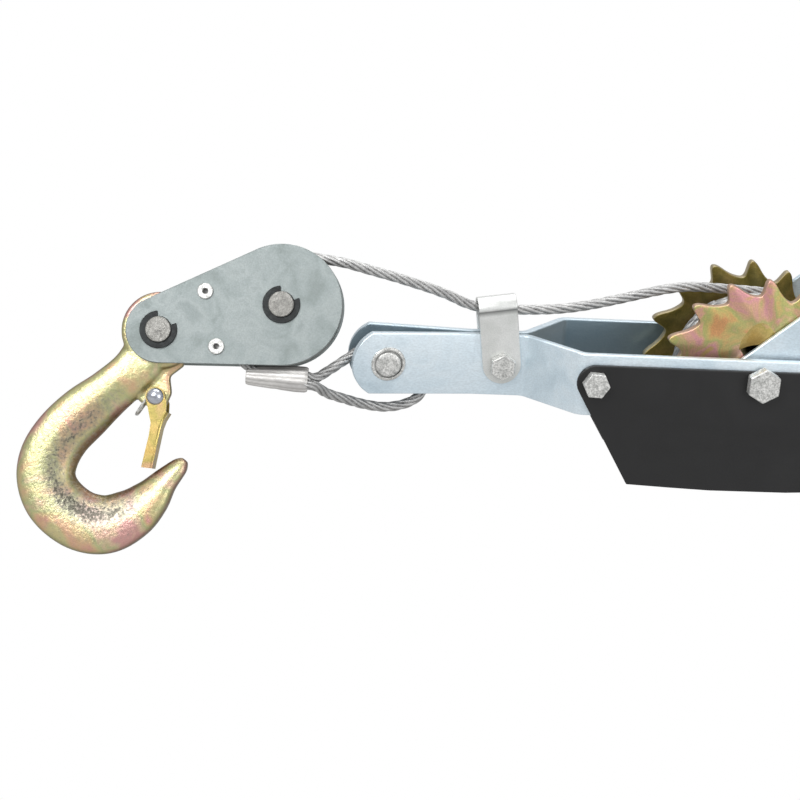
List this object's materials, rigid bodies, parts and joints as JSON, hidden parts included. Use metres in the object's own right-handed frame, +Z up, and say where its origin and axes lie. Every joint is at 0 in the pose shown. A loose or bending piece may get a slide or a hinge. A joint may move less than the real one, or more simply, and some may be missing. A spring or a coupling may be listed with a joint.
{
  "type": "come along winch",
  "caption": "Hand-operated ratchet cable puller with a double-line pulley block, latched load hook, folded-plate frame and swinging lever handle.",
  "frame": {"origin": "middle of the anchor hook's bowl, where the winch is held", "axes": "+X from the pulley block towards the anchor hook, +Y across the frame from the near plate to the far one, +Z up"},
  "size_m": [0.7285, 0.0911, 0.3914],
  "materials": {
    "zinc_steel": "bright zinc plate",
    "dull_zinc": "matt zinc plate",
    "yellow_zinc": "iridescent yellow zinc plate",
    "black_paint": "satin black",
    "bright_steel": "bright zinc plate",
    "pin_steel": "turned",
    "spring_steel": "blackened",
    "wire_rope": "galvanised strands",
    "rubber": "moulded"
  },
  "bodies": {
    "frame": {"near_bar": "zinc_steel", "far_bar": "zinc_steel", "near_guard": "black_paint", "far_guard": "black_paint", "front_pin": "bright_steel", "rear_pin": "bright_steel", "cable_clip": "zinc_steel", "clip_bolt": "bright_steel", "clip_nut": "bright_steel", "guard_bolts": "bright_steel", "axle_bolt": "bright_steel", "axle_nut": "bright_steel", "axle_washers": "bright_steel", "pawl_bolt": "bright_steel", "pawl_nut": "bright_steel", "holding_spring": "bright_steel", "cable": "wire_rope", "cable_ferrule": "bright_steel"},
    "holding_pawl": {"holding_pawl": "yellow_zinc"},
    "drum": {"drum_barrel": "yellow_zinc", "drum_hub": "yellow_zinc", "near_ratchet": "yellow_zinc", "far_ratchet": "yellow_zinc", "cable_winding": "wire_rope"},
    "handle": {"handle_near_plate": "zinc_steel", "handle_far_plate": "zinc_steel", "handle_tube": "zinc_steel", "handle_grip": "rubber", "handle_rivets": "bright_steel", "drive_pawl_pin": "bright_steel", "drive_spring": "bright_steel"},
    "drive_pawl": {"drive_pawl": "yellow_zinc"},
    "block": {"block_near_plate": "dull_zinc", "block_far_plate": "dull_zinc", "sheave_pin": "pin_steel", "hook_pin": "pin_steel", "block_circlips": "spring_steel", "block_spacers": "bright_steel", "block_rivets": "bright_steel"},
    "sheave": {"sheave": "pin_steel"},
    "load_hook": {"load_hook": "yellow_zinc", "load_latch_rivet": "bright_steel", "load_latch_spring": "bright_steel"},
    "load_latch": {"load_latch": "yellow_zinc"},
    "anchor_hook": {"anchor_hook": "yellow_zinc", "anchor_latch_rivet": "bright_steel", "anchor_latch_spring": "bright_steel"},
    "anchor_latch": {"anchor_latch": "yellow_zinc"}
  },
  "joints": [
    {"name": "drum_spin", "type": "hinge", "parent": "frame", "child": "drum", "pos_m": [-0.252, 0, 0.0055], "axis": [0, 1, 0], "range_deg": [-3264, 0]},
    {"name": "block_travel", "type": "slide", "parent": "frame", "child": "block", "axis": [-1, 0, 0], "range_m": [0, 1.1], "deforming": ["cable"]},
    {"name": "sheave_spin", "type": "hinge", "parent": "block", "child": "sheave", "pos_m": [-0.515, 0, 0.0275], "axis": [0.184, 0.9127, -0.3649], "range_deg": [-2210, 0]},
    {"name": "hook_pivot", "type": "hinge", "parent": "block", "child": "load_hook", "pos_m": [-0.58013, 0.00565, 0.00878], "axis": [0.184, 0.9127, -0.3649], "range_deg": [-30, 75]},
    {"name": "load_latch_pivot", "type": "hinge", "parent": "load_hook", "child": "load_latch", "pos_m": [-0.58128, -0.00753, -0.02476], "axis": [0.184, 0.9127, -0.3649], "range_deg": [0, 35], "stiffness_Nm_per_rad": 0.1, "springref_deg": -17.19},
    {"name": "handle_swing", "type": "hinge", "parent": "frame", "child": "handle", "pos_m": [-0.252, 0, 0.0055], "axis": [0, 1, 0], "range_deg": [-95, 24]},
    {"name": "drive_pawl_pivot", "type": "hinge", "parent": "handle", "child": "drive_pawl", "pos_m": [-0.19386, 0, 0.05755], "axis": [0, 1, 0], "range_deg": [-15, 15], "stiffness_Nm_per_rad": 0.6},
    {"name": "holding_pawl_pivot", "type": "hinge", "parent": "frame", "child": "holding_pawl", "pos_m": [-0.1585, 0, 0.002], "axis": [0, 1, 0], "range_deg": [-12, 12], "stiffness_Nm_per_rad": 0.6},
    {"name": "anchor_pivot", "type": "hinge", "parent": "frame", "child": "anchor_hook", "pos_m": [-0.08, 0, 0], "axis": [0, 1, 0], "range_deg": [-60, 60]},
    {"name": "anchor_latch_pivot", "type": "hinge", "parent": "anchor_hook", "child": "anchor_latch", "pos_m": [-0.046, 0, -0.012], "axis": [0, -1, 0], "range_deg": [0, 35], "stiffness_Nm_per_rad": 0.1, "springref_deg": -17.19}
  ],
  "couplings": [
    {"joint": "block_travel", "follows": "drum_spin", "m_per_rad": -0.01925},
    {"joint": "sheave_spin", "follows": "drum_spin", "ratio": 0.65254}
  ]
}
